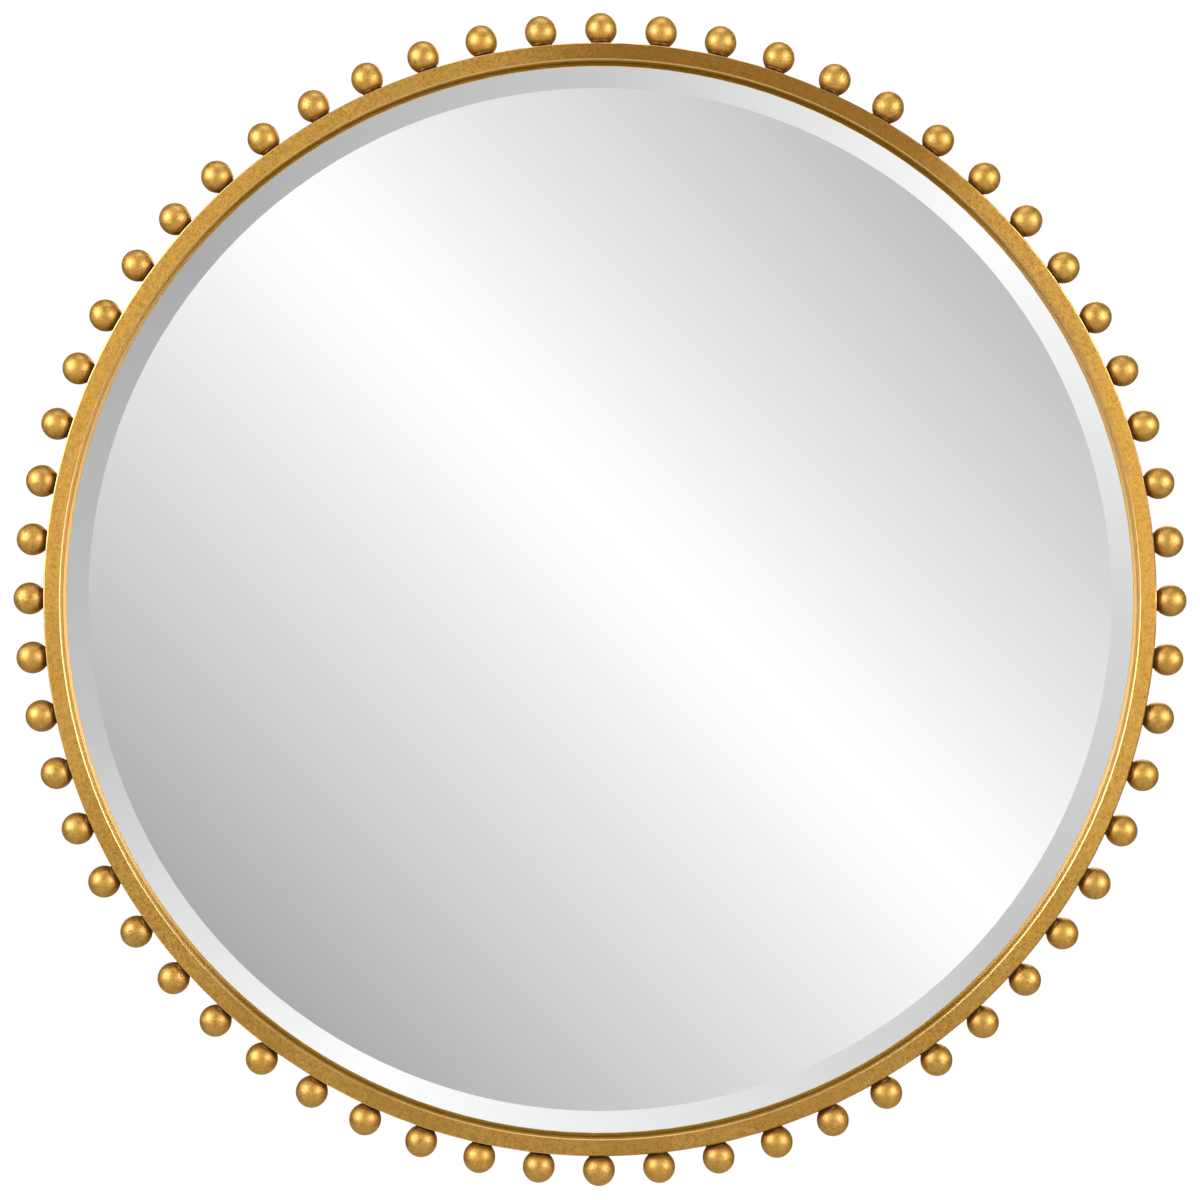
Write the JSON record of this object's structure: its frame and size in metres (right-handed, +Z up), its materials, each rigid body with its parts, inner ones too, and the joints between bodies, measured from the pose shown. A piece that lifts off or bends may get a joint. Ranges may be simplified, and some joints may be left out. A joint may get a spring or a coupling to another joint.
{
  "type": "girandole mirror",
  "caption": "Round wall mirror with a bevelled plate in a thin gilded metal ring, edged all round with gilded balls; hangs by D-rings on its back.",
  "frame": {"origin": "on the mirror's axis, in the plane of the wall that the bumpers touch", "axes": "+Z up, +X to the right as seen from the front, +Y back into the wall; the mirror faces -Y"},
  "size_m": [1.118, 0.038, 1.118],
  "materials": {
    "gilt_metal": "antiqued gold leaf over steel, satin",
    "mirror_plate": "silvered bevelled plate glass",
    "foam": "closed-cell foam",
    "board": "sanded medium-density fibreboard",
    "rubber": "moulded rubber",
    "painted_steel": "black powder coat",
    "zinc_steel": "bright zinc plate"
  },
  "bodies": {
    "frame": {"front_ring": "gilt_metal", "rear_band": "gilt_metal", "beads_hour_01": "gilt_metal", "beads_hour_02": "gilt_metal", "beads_hour_03": "gilt_metal", "beads_hour_04": "gilt_metal", "beads_hour_05": "gilt_metal", "beads_hour_06": "gilt_metal", "beads_hour_07": "gilt_metal", "beads_hour_08": "gilt_metal", "beads_hour_09": "gilt_metal", "beads_hour_10": "gilt_metal", "beads_hour_11": "gilt_metal", "beads_hour_12": "gilt_metal", "mirror_glass": "mirror_plate", "setting_tape": "foam", "foam_liner": "foam", "backing_board": "board", "bumper_1": "rubber", "bumper_2": "rubber", "bumper_3": "rubber", "bumper_4": "rubber", "button_screws": "zinc_steel", "hanger_plate_right": "painted_steel", "hanger_plate_left": "painted_steel", "hanger_strap_left": "zinc_steel", "hanger_strap_right": "zinc_steel", "plate_bolts": "zinc_steel", "strap_rivets": "zinc_steel"},
    "button_1": {"turn_button_1": "zinc_steel"},
    "button_2": {"turn_button_2": "zinc_steel"},
    "button_3": {"turn_button_3": "zinc_steel"},
    "button_4": {"turn_button_4": "zinc_steel"},
    "button_5": {"turn_button_5": "zinc_steel"},
    "button_6": {"turn_button_6": "zinc_steel"},
    "button_7": {"turn_button_7": "zinc_steel"},
    "button_8": {"turn_button_8": "zinc_steel"},
    "ring_left": {"d_ring_left": "zinc_steel"},
    "ring_right": {"d_ring_right": "zinc_steel"}
  },
  "joints": [
    {"name": "button_1_turn", "type": "hinge", "parent": "frame", "child": "button_1", "pos_m": [0.20072, -0.0092, 0.48457], "axis": [0, 1, 0], "range_deg": [-90, 90]},
    {"name": "button_2_turn", "type": "hinge", "parent": "frame", "child": "button_2", "pos_m": [0.48457, -0.0092, 0.20072], "axis": [0, 1, 0], "range_deg": [-90, 90]},
    {"name": "button_3_turn", "type": "hinge", "parent": "frame", "child": "button_3", "pos_m": [0.48457, -0.0092, -0.20072], "axis": [0, 1, 0], "range_deg": [-90, 90]},
    {"name": "button_4_turn", "type": "hinge", "parent": "frame", "child": "button_4", "pos_m": [0.20072, -0.0092, -0.48457], "axis": [0, 1, 0], "range_deg": [-90, 90]},
    {"name": "button_5_turn", "type": "hinge", "parent": "frame", "child": "button_5", "pos_m": [-0.20072, -0.0092, -0.48457], "axis": [0, 1, 0], "range_deg": [-90, 90]},
    {"name": "button_6_turn", "type": "hinge", "parent": "frame", "child": "button_6", "pos_m": [-0.48457, -0.0092, -0.20072], "axis": [0, 1, 0], "range_deg": [-90, 90]},
    {"name": "button_7_turn", "type": "hinge", "parent": "frame", "child": "button_7", "pos_m": [-0.48457, -0.0092, 0.20072], "axis": [0, 1, 0], "range_deg": [-90, 90]},
    {"name": "button_8_turn", "type": "hinge", "parent": "frame", "child": "button_8", "pos_m": [-0.20072, -0.0092, 0.48457], "axis": [0, 1, 0], "range_deg": [-90, 90]},
    {"name": "ring_left_swing", "type": "hinge", "parent": "frame", "child": "ring_left", "pos_m": [-0.35768, -0.00395, 0.36168], "axis": [1, 0, 0], "range_deg": [0, 180]},
    {"name": "ring_right_swing", "type": "hinge", "parent": "frame", "child": "ring_right", "pos_m": [0.35768, -0.00395, 0.36168], "axis": [1, 0, 0], "range_deg": [0, 180]}
  ]
}
